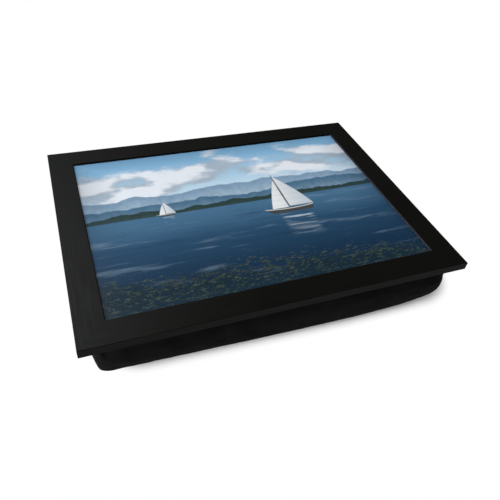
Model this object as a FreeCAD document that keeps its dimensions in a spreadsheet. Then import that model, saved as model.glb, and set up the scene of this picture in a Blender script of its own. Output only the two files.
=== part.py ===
import FreeCAD, Part
import math
import os
import re
import Sketcher

# Lap tray: a mitred frame round a recessed picture, held on a bead-filled cushion.
# +X runs to the right along the long side, +Y to the back and +Z up.
# The origin is on the floor, under the middle of the tray.

# Driving sizes in millimetres
sizes = {
    "tray_length": 440,
    "tray_depth": 330,
    "frame_height": 10,
    "rail_width": 30,
    "rail_edge_round": 0.8,
    "lip_thickness": 3,
    "rebate_width": 8,
    "board_clearance": 0.3,
    "picture_board_thickness": 3,
    "base_board_thickness": 3.2,
    "sheet_clearance": 0.25,
    "picture_sheet_thickness": 0.4,
    "clear_cover_thickness": 1,
    "v_nail_leg": 5,
    "v_nail_thickness": 0.6,
    "v_nail_height": 7,
    "v_nail_first": 6,
    "v_nail_spacing": 8,
    "point_reach": 7,
    "point_bite": 6,
    "point_width": 6,
    "point_thickness": 0.5,
    "point_end_margin": 45,
    "strip_width": 25,
    "long_strip_end_margin": 53,
    "short_strip_end_margin": 68,
    "strip_edge_margin": 18,
    "hook_thickness": 1.6,
    "loop_thickness": 1.6,
    "cushion_height": 61.6,
    "cushion_inset": 12,
    "cover_thickness": 1.2,
    "corner_radius": 16,
    "corner_soften": 12,
    "side_pull_in": 2,
    "side_bulge": 2.5,
    "side_taper": 1.5,
    "base_rise": 9,
    "base_roll": 14,
    "top_drop": 4,
    "top_roll": 7,
    "seam_gap": 0.3,
    "liner_thickness": 0.6,
    "soft_clearance": 0.3,
    "zip_end_margin": 32,
    "zip_opening": 9,
    "tape_width": 13,
    "tape_thickness": 0.7,
    "tape_overrun": 6,
    "tooth_depth": 2.2,
    "tooth_height": 2.4,
    "tooth_gap": 1.2,
    "stop_length": 3,
    "slider_length": 11,
    "slider_plate": 1.2,
    "slider_clearance": 0.25,
    "slider_flange": 0.75,
    "bridge_length": 4.6,
    "bridge_width": 2,
    "bridge_rise": 2.9,
    "pull_bar_radius": 0.6,
    "pull_bar_clearance": 0.06,
    "pull_arm_clearance": 0.4,
    "pull_arm_width": 1.3,
    "pull_window": 4,
    "pull_length": 24,
    "pull_hole_radius": 1.1,
}

# Sizes that follow from the driving ones
derived = {
    "opening_length": "=tray_length - 2 * rail_width",
    "opening_depth": "=tray_depth - 2 * rail_width",
    "board_length": "=opening_length + 2 * (rebate_width - board_clearance)",
    "board_depth": "=opening_depth + 2 * (rebate_width - board_clearance)",
    "sheet_length": "=opening_length - 2 * sheet_clearance",
    "sheet_depth": "=opening_depth - 2 * sheet_clearance",
    "base_board_low": "=cushion_height + loop_thickness + hook_thickness",
    "picture_board_low": "=base_board_low + base_board_thickness",
    "picture_sheet_low": "=picture_board_low + picture_board_thickness",
    "clear_cover_low": "=picture_sheet_low + picture_sheet_thickness",
    "frame_low": "=picture_sheet_low + lip_thickness - frame_height",
    "long_strip_length": "=board_length - 2 * long_strip_end_margin",
    "short_strip_length": "=board_depth - 2 * short_strip_end_margin",
    "strip_front": "=board_depth / 2 - strip_edge_margin - strip_width / 2",
    "strip_side": "=board_length / 2 - strip_edge_margin - strip_width / 2",
    "top_seam": "=cushion_height - top_drop",
    "wall_middle": "=(base_rise + top_seam) / 2",
    "back_face": "=tray_depth / 2 - cushion_inset",
    "tape_face": "=back_face - cover_thickness - tape_thickness",
    "tape_middle": "=tape_face + tape_thickness / 2",
    "tooth_edge": "=tooth_gap / 2 + tooth_height",
    "zip_length": "=tray_length - 2 * (cushion_inset + corner_radius + zip_end_margin)",
    "teeth_length": "=zip_length - 2 * stop_length",
    "slider_half": "=tooth_edge + slider_clearance + slider_flange",
    "plate_low": "=tooth_depth / 2 + slider_clearance",
    "slider_place": "=teeth_length / 2 - slider_clearance - slider_length / 2",
    "pull_axis": "=tape_middle + plate_low + slider_plate + bridge_rise / 2",
    "pull_half": "=bridge_width / 2 + pull_arm_clearance + pull_arm_width",
}

long_rail_point_count = 4
short_rail_point_count = 3

doc = FreeCAD.newDocument("LapTray")
sheet = doc.addObject("Spreadsheet::Sheet", "Sizes")
for row, (name, value) in enumerate({**sizes, **derived}.items(), start=1):
    sheet.set(f"A{row}", name)
    sheet.set(f"B{row}", str(value))
    sheet.setAlias(f"B{row}", name)
doc.recompute()

parts = []


def keep(piece, name):
    piece.Label = name
    parts.append(piece)
    return piece


def size(name):
    return float(sheet.get(name))


def bind(piece, prop, formula):
    piece.setExpression(prop, re.sub(r"[a-z_]{2,}", r"Sizes.\g<0>", formula))


def place(piece, x="0", y="0", z="0"):
    for axis, formula in zip("xyz", (x, y, z)):
        bind(piece, f".Placement.Base.{axis}", formula)


# A box centred on x and y, standing on low
def box(name, length, depth, height, x="0", y="0", low="0"):
    piece = doc.addObject("Part::Box", name)
    bind(piece, "Length", length)
    bind(piece, "Width", depth)
    bind(piece, "Height", height)
    place(piece, f"{x} - ({length}) / 2", f"{y} - ({depth}) / 2", low)
    return piece


def compound(name, pieces):
    piece = doc.addObject("Part::Compound", name)
    piece.Links = pieces
    return piece


def mirrored(name, source, normal):
    piece = doc.addObject("Part::Mirroring", name)
    piece.Source = source
    piece.Normal = normal
    return piece


def fused(name, pieces):
    piece = doc.addObject("Part::MultiFuse", name)
    piece.Shapes = pieces
    return piece


def cut(name, base, tool):
    piece = doc.addObject("Part::Cut", name)
    piece.Base = base
    piece.Tool = tool
    return piece


def sketch_on(body, name, role):
    sketch = body.newObject("Sketcher::SketchObject", name)
    plane = next(f for f in body.Origin.OriginFeatures if f.Role == role)
    sketch.AttachmentSupport = [(plane, "")]
    sketch.MapMode = "FlatFace"
    return sketch


def constrain(sketch, kind, *references):
    return sketch.addConstraint(Sketcher.Constraint(kind, *references))


# A dimension that follows the sheet
def dimension(sketch, kind, references, start, name, formula):
    number = constrain(sketch, kind, *references, start)
    sketch.renameConstraint(number, name)
    bind(sketch, f"Constraints.{name}", formula)


def line(x0, y0, x1, y1):
    return Part.LineSegment(FreeCAD.Vector(x0, y0), FreeCAD.Vector(x1, y1))


def arc(x, y, radius, start, end):
    circle = Part.Circle(FreeCAD.Vector(x, y), FreeCAD.Vector(0, 0, 1), radius)
    return Part.ArcOfCircle(circle, math.radians(start), math.radians(end))


def pad(body, sketch, name, length):
    feature = body.newObject("PartDesign::Pad", name)
    feature.Profile = sketch
    feature.SideType = "Symmetric"
    bind(feature, "Length", length)
    sketch.Visibility = False
    return feature


# Frame rails: a rebated section with rounded top edges, mitred at both ends.
# In its own frame a rail lies along X with its outer face on y = 0 and its underside on z = 0.
def rail_profile(body, name):
    width, height = size("rail_width"), size("frame_height")
    lip, rebate = size("lip_thickness"), size("rebate_width")
    edge = size("rail_edge_round")
    profile = sketch_on(body, f"{name}_profile", "YZ_Plane")
    profile.addGeometry([
        line(0, 0, 0, height - edge),
        arc(edge, height - edge, edge, 90, 180),
        line(edge, height, width - edge, height),
        arc(width - edge, height - edge, edge, 0, 90),
        line(width, height - edge, width, height - lip),
        line(width, height - lip, width - rebate, height - lip),
        line(width - rebate, height - lip, width - rebate, 0),
        line(width - rebate, 0, 0, 0),
    ])
    outer, outer_arc, top, inner_arc, inner, ledge, wall, under = range(8)
    constrain(profile, "Tangent", outer, 2, outer_arc, 2)
    constrain(profile, "Tangent", outer_arc, 1, top, 1)
    constrain(profile, "Tangent", top, 2, inner_arc, 2)
    constrain(profile, "Tangent", inner_arc, 1, inner, 1)
    for first, second in ((inner, ledge), (ledge, wall), (wall, under), (under, outer)):
        constrain(profile, "Coincident", first, 2, second, 1)
    constrain(profile, "Coincident", outer, 1, -1, 1)
    for edge_line in (outer, inner, wall):
        constrain(profile, "Vertical", edge_line)
    for edge_line in (top, ledge, under):
        constrain(profile, "Horizontal", edge_line)
    constrain(profile, "Equal", outer_arc, inner_arc)
    dimension(profile, "Radius", (outer_arc,), edge, "edge", "rail_edge_round")
    dimension(profile, "DistanceX", (-1, 1, inner, 1), width, "width", "rail_width")
    dimension(profile, "DistanceY", (-1, 1, top, 1), height, "height", "frame_height")
    dimension(profile, "DistanceY", (inner, 2, top, 2), lip, "lip", "lip_thickness")
    dimension(profile, "DistanceX", (wall, 1, inner, 2), rebate, "rebate", "rebate_width")
    return profile


# The triangle that the mitre takes off the right end, with room to spare past the rail
def mitre_outline(body, name, length):
    half, width = size(length) / 2, size("rail_width")
    outline = sketch_on(body, f"{name}_mitre_outline", "XY_Plane")
    outline.addGeometry([
        line(half + width, -width, half + width, 2 * width),
        line(half + width, 2 * width, half - 2 * width, 2 * width),
        line(half - 2 * width, 2 * width, half + width, -width),
    ])
    for first, second in ((0, 1), (1, 2), (2, 0)):
        constrain(outline, "Coincident", first, 2, second, 1)
    constrain(outline, "Vertical", 0)
    constrain(outline, "Horizontal", 1)
    end = f"{length} / 2 + rail_width"
    dimension(outline, "DistanceX", (-1, 1, 0, 1), half + width, "end", end)
    dimension(outline, "DistanceY", (0, 1, -1, 1), width, "outside", "rail_width")
    dimension(outline, "DistanceY", (-1, 1, 0, 2), 2 * width, "inside", "2 * rail_width")
    dimension(outline, "DistanceX", (1, 2, 1, 1), 3 * width, "across", "3 * rail_width")
    return outline


def rail_blank(name, length, turn, x, y):
    body = doc.addObject("PartDesign::Body", f"{name}_blank")
    blank = pad(body, rail_profile(body, name), f"{name}_length", length)
    outline = mitre_outline(body, name, length)
    doc.recompute()
    mitre = body.newObject("PartDesign::Pocket", f"{name}_mitre")
    mitre.Profile = outline
    mitre.SideType = "Symmetric"
    bind(mitre, "Length", "3 * frame_height")
    both_ends = body.newObject("PartDesign::Mirrored", f"{name}_both_ends")
    both_ends.Originals = [mitre]
    both_ends.MirrorPlane = (outline, ["V_Axis"])
    body.Tip = both_ends
    body.Placement.Rotation = FreeCAD.Rotation(FreeCAD.Vector(0, 0, 1), turn)
    place(body, x, y, "frame_low")
    doc.recompute()
    if not body.Shape.Volume < blank.Shape.Volume:
        raise RuntimeError(f"{name}: the mitres cut nothing")
    return body


# Corner V-nails: an angled blade across each mitre, twice at each corner, flush with the underside
def v_nail(name, setback):
    corner_x = f"tray_length / 2 - {setback}"
    corner_y = f"{setback} - tray_depth / 2"
    along = box(f"{name}_along", "v_nail_leg", "v_nail_thickness", "v_nail_height",
                f"{corner_x} - v_nail_leg / 2", f"{corner_y} + v_nail_thickness / 2", "frame_low")
    across = box(f"{name}_across", "v_nail_thickness", "v_nail_leg", "v_nail_height",
                 f"{corner_x} - v_nail_thickness / 2", f"{corner_y} + v_nail_leg / 2", "frame_low")
    return fused(name, [along, across])


def corner_v_nails():
    corner = compound("v_nails_front_right", [
        v_nail("v_nail_outer", "v_nail_first"),
        v_nail("v_nail_inner", "(v_nail_first + v_nail_spacing)"),
    ])
    front_left = mirrored("v_nails_front_left", corner, FreeCAD.Vector(1, 0, 0))
    front = compound("v_nails_front", [corner, front_left])
    back = mirrored("v_nails_back", front, FreeCAD.Vector(0, 1, 0))
    return keep(compound("v_nails", [front, back]), "corner_v_nails")


# Framing points: flat pointed blades that bite into the rebate's wall under the base board
def framing_point(x, y, turn):
    half, reach, bite = size("point_width") / 2, size("point_reach"), size("point_bite")
    corners = [(-reach, -half), (bite - half, -half), (bite, 0), (bite - half, half), (-reach, half)]
    loop = [FreeCAD.Vector(u, v, 0) for u, v in corners + corners[:1]]
    blade = Part.Face(Part.makePolygon(loop)).extrude(FreeCAD.Vector(0, 0, size("point_thickness")))
    blade.Placement = FreeCAD.Placement(
        FreeCAD.Vector(x, y, size("base_board_low") - size("point_thickness")),
        FreeCAD.Rotation(FreeCAD.Vector(0, 0, 1), turn))
    return blade


def spread(length, count):
    reach = length / 2 - size("point_end_margin")
    return [reach * (2 * k / (count - 1) - 1) for k in range(count)]


def framing_points():
    wall_x = size("opening_length") / 2 + size("rebate_width")
    wall_y = size("opening_depth") / 2 + size("rebate_width")
    blades = []
    for x in spread(size("opening_length"), long_rail_point_count):
        blades += [framing_point(x, -wall_y, -90), framing_point(x, wall_y, 90)]
    for y in spread(size("opening_depth"), short_rail_point_count):
        blades += [framing_point(wall_x, y, 0), framing_point(-wall_x, y, 180)]
    piece = doc.addObject("Part::Feature", "framing_points")
    piece.Shape = Part.makeCompound(blades)
    return keep(piece, "framing_points")


# Each rail has the slots that its V-nails and points were driven into
def rails(fasteners):
    half_length, half_depth = "tray_length / 2", "tray_depth / 2"
    places = {
        "front_rail": ("tray_length", 0, "0", f"-{half_depth}"),
        "right_rail": ("tray_depth", 90, half_length, "0"),
        "back_rail": ("tray_length", 180, "0", half_depth),
        "left_rail": ("tray_depth", 270, f"-{half_length}", "0"),
    }
    for name, (length, turn, x, y) in places.items():
        keep(cut(f"{name}_slotted", rail_blank(name, length, turn, x, y), fasteners), name)


# Boards and sheets that fill the rebate and the opening, from the bottom up
def panels():
    keep(box("base_board", "board_length", "board_depth", "base_board_thickness",
             low="base_board_low"), "base_board")
    keep(box("picture_board", "board_length", "board_depth", "picture_board_thickness",
             low="picture_board_low"), "picture_board")
    keep(box("picture_sheet", "sheet_length", "sheet_depth", "picture_sheet_thickness",
             low="picture_sheet_low"), "picture_sheet")
    keep(box("clear_cover", "sheet_length", "sheet_depth", "clear_cover_thickness",
             low="clear_cover_low"), "clear_cover")


# Hook tape on the base board, and loop tape facing it on the cushion
def hook_and_loop():
    spots = {
        "front": ("long_strip_length", "strip_width", "0", "-strip_front"),
        "back": ("long_strip_length", "strip_width", "0", "strip_front"),
        "left": ("strip_width", "short_strip_length", "-strip_side", "0"),
        "right": ("strip_width", "short_strip_length", "strip_side", "0"),
    }
    for side, (length, depth, x, y) in spots.items():
        keep(box(f"hook_strip_{side}", length, depth, "hook_thickness", x, y,
                 "cushion_height + loop_thickness"), f"hook_strip_{side}")
        keep(box(f"loop_strip_{side}", length, depth, "loop_thickness", x, y,
                 "cushion_height"), f"loop_strip_{side}")


# Cushion form: level outlines that are drawn in between the corners, taper to the base
# and roll under into a flat patch. Skin is the depth under the outer face.
class Level:
    def __init__(self, z, side, back, corner):
        self.z = z
        self.right = size("tray_length") / 2 - size("cushion_inset") - side
        self.front = size("cushion_inset") + side - size("tray_depth") / 2
        self.back = size("back_face") - back
        self.corner = corner

    # One corner's arc, by its quarter (0 is front right, then counter-clockwise)
    def corner_point(self, quarter, degrees):
        right = quarter in (0, 1)
        front = quarter in (0, 3)
        x = (self.right - self.corner) * (1 if right else -1)
        y = self.front + self.corner if front else self.back - self.corner
        angle = math.radians(90 * (quarter - 1) + degrees)
        return FreeCAD.Vector(x + self.corner * math.cos(angle),
                              y + self.corner * math.sin(angle), self.z)

    def corner_arc(self, quarter, start, end):
        return Part.Arc(self.corner_point(quarter, start),
                        self.corner_point(quarter, (start + end) / 2),
                        self.corner_point(quarter, end)).toShape()

    # The side that follows a corner; the back stays straight for the zip
    def side_edge(self, quarter):
        first = self.corner_point(quarter, 90)
        last = self.corner_point((quarter + 1) % 4, 0)
        pull = size("side_pull_in")
        inward = {0: (-pull, 0), 2: (pull, 0), 3: (0, pull)}.get(quarter)
        if inward is None:
            return Part.LineSegment(first, last).toShape()
        middle = (first + last) / 2 + FreeCAD.Vector(*inward, 0)
        return Part.Arc(first, middle, last).toShape()

    def loop(self):
        edges = []
        for quarter in range(4):
            edges += [self.corner_arc(quarter, 0, 90), self.side_edge(quarter)]
        return Part.Wire(edges)


def base_level(degrees, skin, back_skin):
    sine, cosine = math.sin(math.radians(degrees)), math.cos(math.radians(degrees))
    rise, roll = size("base_rise"), size("base_roll")
    return Level(rise - (rise - skin) * sine,
                 size("side_taper") + roll - (roll - skin) * cosine,
                 roll - (roll - back_skin) * cosine,
                 size("corner_radius") - skin + size("corner_soften") * (1 - cosine))


def wall_level(z, skin, back_skin):
    share = (z - size("base_rise")) / (size("top_seam") - size("base_rise"))
    side = size("side_taper") * (1 - share) - 4 * size("side_bulge") * share * (1 - share)
    return Level(z, side + skin, back_skin, size("corner_radius") - skin)


def top_level(degrees, skin, back_skin):
    sine, cosine = math.sin(math.radians(degrees)), math.cos(math.radians(degrees))
    drop, roll = size("top_drop"), size("top_roll")
    return Level(size("cushion_height") - drop + (drop - skin) * sine,
                 roll - (roll - skin) * cosine,
                 roll - (roll - back_skin) * cosine,
                 size("corner_radius") - skin + size("corner_soften") * (1 - cosine))


roll_angles = (0, 15, 30, 45, 60, 75, 90)


def soft_solid(levels):
    ruled = True
    return Part.makeLoft([level.loop() for level in levels], True, ruled)


def soft_piece(name, shape):
    piece = doc.addObject("Part::Feature", name)
    piece.Shape = shape
    return keep(piece, name)


# Cover panels that roll over the edge: the cup between two rolled forms
def rolled_panel(name, level_at):
    skin = size("cover_thickness")
    outside = soft_solid([level_at(angle, 0, 0) for angle in roll_angles])
    inside = soft_solid([level_at(angle, skin, skin) for angle in roll_angles])
    soft_piece(name, outside.cut(inside))


# Side bands: strips between two corner seams, standing between two heights
def corner_seam(level):
    return math.degrees(size("seam_gap") / 2 / level.corner)


def joined_wire(outer_edges, inner_edges, first, last):
    ends = [Part.LineSegment(*first).toShape(), Part.LineSegment(*last).toShape()]
    return Part.Wire([ends[0]] + outer_edges + [ends[1]] + inner_edges[::-1])


def band_section(outer, inner, quarter):
    seam = corner_seam(inner)
    start, end = (quarter, 45 + seam), ((quarter + 1) % 4, 45 - seam)
    edges = [[level.corner_arc(*start, 90), level.side_edge(quarter), level.corner_arc(end[0], 0, end[1])]
             for level in (outer, inner)]
    return joined_wire(*edges, (inner.corner_point(*start), outer.corner_point(*start)),
                       (outer.corner_point(*end), inner.corner_point(*end)))


# The back band's end tabs close the slot between a corner seam and the zip's end
def tab_section(outer, inner, quarter):
    seam = corner_seam(inner)
    right = quarter == 1
    angles = (45 + seam, 90) if right else (0, 45 - seam)
    corner_end = angles[0] if right else angles[1]
    zip_end = (size("zip_length") / 2 + size("seam_gap")) * (1 if right else -1)
    edges, tips, corners = [], [], []
    for level in (outer, inner):
        tip = FreeCAD.Vector(zip_end, level.back, level.z)
        flat = Part.LineSegment(level.corner_point(quarter, angles[1] if right else angles[0]), tip)
        edges.append([level.corner_arc(quarter, *angles), flat.toShape()])
        tips.append(tip)
        corners.append(level.corner_point(quarter, corner_end))
    return joined_wire(*edges, corners[::-1], tips)


def side_band(name, quarter, low, high, section=band_section):
    skin = size("cover_thickness")
    heights = [low + (high - low) * share for share in (0, 0.25, 0.5, 0.75, 1)]
    sections = [section(wall_level(z, 0, 0), wall_level(z, skin, skin), quarter) for z in heights]
    soft_piece(name, Part.makeLoft(sections, True, False))


def cushion_cover():
    rolled_panel("cover_base", base_level)
    rolled_panel("cover_top", top_level)
    low = size("base_rise") + size("seam_gap")
    high = size("top_seam") - size("seam_gap")
    middle, half_opening = size("wall_middle"), size("zip_opening") / 2
    side_band("side_band_right", 0, low, high)
    side_band("back_band_upper", 1, middle + half_opening, high)
    side_band("back_band_lower", 1, low, middle - half_opening)
    tab_low, tab_high = middle - half_opening + size("seam_gap"), middle + half_opening - size("seam_gap")
    side_band("zip_end_tab_right", 1, tab_low, tab_high, tab_section)
    side_band("zip_end_tab_left", 2, tab_low, tab_high, tab_section)
    side_band("side_band_left", 2, low, high)
    side_band("side_band_front", 3, low, high)


# Inner bag in two halves and the bead filling; at the back they keep clear of the zip's slider
def filled_form(skin, back_skin, low=None, high=None):
    levels = []
    if low is None:
        levels += [base_level(angle, skin, back_skin) for angle in reversed(roll_angles)]
    levels.append(wall_level(low or high or size("wall_middle"), skin, back_skin))
    if high is None:
        levels += [top_level(angle, skin, back_skin) for angle in roll_angles]
    return soft_solid(levels)


def inner_bag():
    slider_depth = size("back_face") - size("tape_middle") + size("plate_low") + size("slider_plate")
    bag_skin = size("cover_thickness") + size("soft_clearance")
    bag_back = slider_depth + size("soft_clearance")
    room = size("liner_thickness")
    middle = size("wall_middle")
    half_gap = size("seam_gap") / 2
    lower = filled_form(bag_skin, bag_back, high=middle - half_gap)
    upper = filled_form(bag_skin, bag_back, low=middle + half_gap)
    hollow = filled_form(bag_skin + room, bag_back + room)
    soft_piece("liner_base", lower.cut(hollow))
    soft_piece("liner_top", upper.cut(hollow))
    beads = room + size("soft_clearance")
    soft_piece("bead_filling", filled_form(bag_skin + beads, bag_back + beads))


# Zip along the back: two tapes behind the bands, a row of teeth on each and stops at the ends
def zip_chain():
    for half, sign in (("upper", "+"), ("lower", "-")):
        tape_low = "tooth_edge" if sign == "+" else "(-tooth_edge - tape_width)"
        teeth_low = "tooth_gap / 2" if sign == "+" else "(-tooth_edge)"
        keep(box(f"zip_tape_{half}", "zip_length + 2 * tape_overrun", "tape_thickness", "tape_width",
                 y="tape_middle", low=f"wall_middle + {tape_low}"), f"zip_tape_{half}")
        keep(box(f"zip_teeth_{half}", "teeth_length", "tooth_depth", "tooth_height",
                 y="tape_middle", low=f"wall_middle + {teeth_low}"), f"zip_teeth_{half}")
    end = "(zip_length - stop_length) / 2"
    stops = [
        box("stop_upper", "stop_length", "tooth_depth", "tooth_height",
            end, "tape_middle", "wall_middle + tooth_gap / 2"),
        box("stop_lower", "stop_length", "tooth_depth", "tooth_height",
            end, "tape_middle", "wall_middle - tooth_edge"),
        box("stop_far", "stop_length", "tooth_depth", "2 * tooth_edge",
            f"-{end}", "tape_middle", "wall_middle - tooth_edge"),
    ]
    keep(compound("stops", stops), "zip_stops")


# Slider: two plates joined by a web that runs between the rows of teeth, with flanges
# that reach in to the tapes and a bridge for the pull
def zip_slider():
    at = "slider_place"
    flange_depth = "plate_low - tape_thickness / 2 - slider_clearance"
    flange_middle = f"(plate_low - ({flange_depth}) / 2)"
    web_height = "tooth_gap - 2 * slider_clearance"
    pieces = [box("slider_web", "slider_length", "2 * plate_low", web_height,
                  at, "tape_middle", f"wall_middle - ({web_height}) / 2")]
    for face, sign in (("outer", "+"), ("inner", "-")):
        pieces.append(box(f"slider_{face}_plate", "slider_length", "slider_plate", "2 * slider_half",
                          at, f"tape_middle {sign} (plate_low + slider_plate / 2)",
                          "wall_middle - slider_half"))
        for edge, low in (("top", "slider_half - slider_flange"), ("bottom", "-slider_half")):
            pieces.append(box(f"slider_{face}_{edge}_flange", "slider_length", flange_depth,
                              "slider_flange", at, f"tape_middle {sign} {flange_middle}",
                              f"wall_middle + ({low})"))
    pieces.append(box("slider_bridge", "bridge_length", "bridge_rise", "bridge_width",
                      at, "pull_axis", "wall_middle - bridge_width / 2"))
    bore = doc.addObject("Part::Cylinder", "slider_bore")
    bind(bore, "Radius", "pull_bar_radius + pull_bar_clearance")
    bind(bore, "Height", "2 * bridge_width")
    place(bore, at, "pull_axis", "wall_middle - bridge_width")
    keep(cut("slider_with_bore", fused("slider_solid", pieces), bore), "zip_slider")


# Pull tab: a fork whose round bar turns in the bridge, with a rounded end and a hole.
# In its own frame the bar is on the Z axis and the tab points along -X.
def zip_pull():
    body = doc.addObject("PartDesign::Body", "pull_tab")
    half, window = size("pull_half"), size("pull_window")
    reach, bar = size("pull_length") - half, size("pull_bar_radius")
    gap = half - size("pull_arm_width")
    outline = sketch_on(body, "pull_outline", "XZ_Plane")
    outline.addGeometry([
        line(0, gap, 0, half),
        line(0, half, -reach, half),
        arc(-reach, 0, half, 90, 270),
        line(-reach, -half, 0, -half),
        line(0, -half, 0, -gap),
        line(0, -gap, -window, -gap),
        line(-window, -gap, -window, gap),
        line(-window, gap, 0, gap),
        Part.Circle(FreeCAD.Vector(-reach, 0), FreeCAD.Vector(0, 0, 1), size("pull_hole_radius")),
    ])
    top_end, top, round_end, bottom, bottom_end, window_bottom, window_end, window_top, hole = range(9)
    constrain(outline, "Tangent", top, 2, round_end, 1)
    constrain(outline, "Tangent", round_end, 2, bottom, 1)
    loop = [bottom, bottom_end, window_bottom, window_end, window_top, top_end, top]
    for first, second in zip(loop, loop[1:]):
        constrain(outline, "Coincident", first, 2, second, 1)
    for edge in (top, bottom, window_bottom, window_top):
        constrain(outline, "Horizontal", edge)
    constrain(outline, "PointOnObject", top_end, 1, -2)
    constrain(outline, "PointOnObject", top_end, 2, -2)
    constrain(outline, "PointOnObject", bottom_end, 1, -2)
    constrain(outline, "PointOnObject", bottom_end, 2, -2)
    constrain(outline, "PointOnObject", round_end, 3, -1)
    constrain(outline, "Coincident", hole, 3, round_end, 3)
    constrain(outline, "Symmetric", window_top, 1, window_bottom, 2, -1)
    dimension(outline, "Radius", (round_end,), half, "half", "pull_half")
    dimension(outline, "DistanceY", (window_end, 1, window_end, 2), 2 * gap, "gap",
              "2 * (pull_half - pull_arm_width)")
    dimension(outline, "DistanceX", (window_end, 1, -1, 1), window, "window", "pull_window")
    dimension(outline, "DistanceX", (round_end, 3, -1, 1), reach, "reach", "pull_length - pull_half")
    dimension(outline, "Radius", (hole,), size("pull_hole_radius"), "hole", "pull_hole_radius")
    pad(body, outline, "pull_plate", "2 * pull_bar_radius")
    section = sketch_on(body, "pull_bar_section", "XY_Plane")
    section.addGeometry(Part.Circle(FreeCAD.Vector(0, 0), FreeCAD.Vector(0, 0, 1), bar))
    constrain(section, "Coincident", 0, 3, -1, 1)
    dimension(section, "Radius", (0,), bar, "bar_radius", "pull_bar_radius")
    pad(body, section, "pull_bar", "2 * pull_half")
    place(body, "slider_place", "pull_axis", "wall_middle")
    keep(body, "zip_pull")


def export_parts():
    doc.recompute()
    for piece in doc.Objects:
        if "Invalid" in piece.State or "Error" in piece.State:
            raise RuntimeError(f"{piece.Name} failed: {piece.State}")
    for piece in parts:
        if piece.Shape.isNull() or not piece.Shape.isValid() or not piece.Shape.Solids:
            raise RuntimeError(f"{piece.Label} has no valid solid")
    os.makedirs("parts", exist_ok=True)
    for piece in parts:
        solids = piece.Shape.Solids
        shape = solids[0] if len(solids) == 1 else Part.makeCompound(solids)
        shape.exportStep(f"parts/{piece.Label}.step")
        print(f"{piece.Label}: {len(solids)} solid, {piece.Shape.Volume / 1000:.2f} cubic cm")


v_nails = corner_v_nails()
points = framing_points()
rails(compound("driven_fasteners", [v_nails, points]))
panels()
hook_and_loop()
cushion_cover()
inner_bag()
zip_chain()
zip_slider()
zip_pull()
export_parts()
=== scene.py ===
import math
import bmesh
import bpy
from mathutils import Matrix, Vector, noise


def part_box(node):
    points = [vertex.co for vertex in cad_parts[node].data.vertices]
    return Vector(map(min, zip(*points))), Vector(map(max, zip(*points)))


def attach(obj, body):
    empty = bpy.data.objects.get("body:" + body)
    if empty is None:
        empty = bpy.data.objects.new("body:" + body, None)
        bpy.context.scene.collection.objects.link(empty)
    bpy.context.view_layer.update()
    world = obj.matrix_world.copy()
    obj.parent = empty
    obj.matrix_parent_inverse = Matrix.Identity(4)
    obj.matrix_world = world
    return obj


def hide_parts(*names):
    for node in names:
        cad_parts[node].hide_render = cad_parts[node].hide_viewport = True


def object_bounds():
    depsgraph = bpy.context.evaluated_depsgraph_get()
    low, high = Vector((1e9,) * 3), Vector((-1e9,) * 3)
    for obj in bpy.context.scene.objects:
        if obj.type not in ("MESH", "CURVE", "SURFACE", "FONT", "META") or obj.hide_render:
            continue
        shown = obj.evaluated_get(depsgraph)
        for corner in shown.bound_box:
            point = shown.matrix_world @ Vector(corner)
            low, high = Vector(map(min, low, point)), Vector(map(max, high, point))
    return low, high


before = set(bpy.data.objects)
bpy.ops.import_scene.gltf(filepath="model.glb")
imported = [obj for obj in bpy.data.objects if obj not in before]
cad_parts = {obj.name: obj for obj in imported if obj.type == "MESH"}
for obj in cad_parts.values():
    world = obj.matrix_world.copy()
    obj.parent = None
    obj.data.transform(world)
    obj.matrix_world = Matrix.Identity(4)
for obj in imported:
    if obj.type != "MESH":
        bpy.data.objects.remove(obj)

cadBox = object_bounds()
mm = 0.001
touch = 0.01 * mm    # nearer than this counts as touching
hair = 0.001 * mm    # and nearer than this as the same place
print("frame loaded:", len(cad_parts), "nodes")


# selecting and shaping, as used by every piece below

def leaveEdit():
    bpy.ops.object.mode_set(mode="OBJECT")


def clearSelection():
    if bpy.context.mode != "OBJECT":
        leaveEdit()
    bpy.ops.object.select_all(action="DESELECT")


def useOnly(piece):
    clearSelection()
    piece.select_set(True)
    bpy.context.view_layer.objects.active = piece


def editAll(piece):
    useOnly(piece)
    bpy.ops.object.mode_set(mode="EDIT")
    bpy.ops.mesh.select_all(action="SELECT")


def startPick(piece, kind):
    useOnly(piece)
    bpy.ops.object.mode_set(mode="EDIT")
    bpy.ops.mesh.select_mode(type=kind)
    bpy.ops.mesh.select_all(action="DESELECT")
    return bmesh.from_edit_mesh(piece.data)


def pickFaces(piece, test):
    mesh = startPick(piece, "FACE")
    for face in mesh.faces:
        face.select_set(bool(test(face.calc_center_median(), face.normal)))
    bmesh.update_edit_mesh(piece.data)


def pickEdges(piece, test):
    mesh = startPick(piece, "EDGE")
    for edge in mesh.edges:
        edge.select_set(bool(test(edge.verts[0].co, edge.verts[1].co)))
    bmesh.update_edit_mesh(piece.data)


def bevelEdges(piece, test, offset, segments):
    pickEdges(piece, test)
    bpy.ops.mesh.bevel(offset=offset, segments=segments, affect="EDGES")
    leaveEdit()


def startBlock(name, low, high):
    clearSelection()
    low, high = Vector(low), Vector(high)
    bpy.ops.mesh.primitive_cube_add(size=1.0, location=(low + high) / 2)
    piece = bpy.context.object
    piece.name = name
    piece.scale = high - low
    bpy.ops.object.transform_apply(location=True, rotation=True, scale=True)
    return piece


def copyOf(source, name):
    piece = bpy.data.objects.new(name, source.data.copy())
    bpy.context.scene.collection.objects.link(piece)
    return piece


def copyNode(node, name):
    piece = copyOf(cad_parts[node], name)    # loose triangles, so they are merged first
    editAll(piece)
    bpy.ops.mesh.customdata_custom_splitnormals_clear()
    bpy.ops.mesh.remove_doubles(threshold=hair)
    bpy.ops.mesh.dissolve_limited(angle_limit=math.radians(1.0))
    leaveEdit()
    return piece


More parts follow.
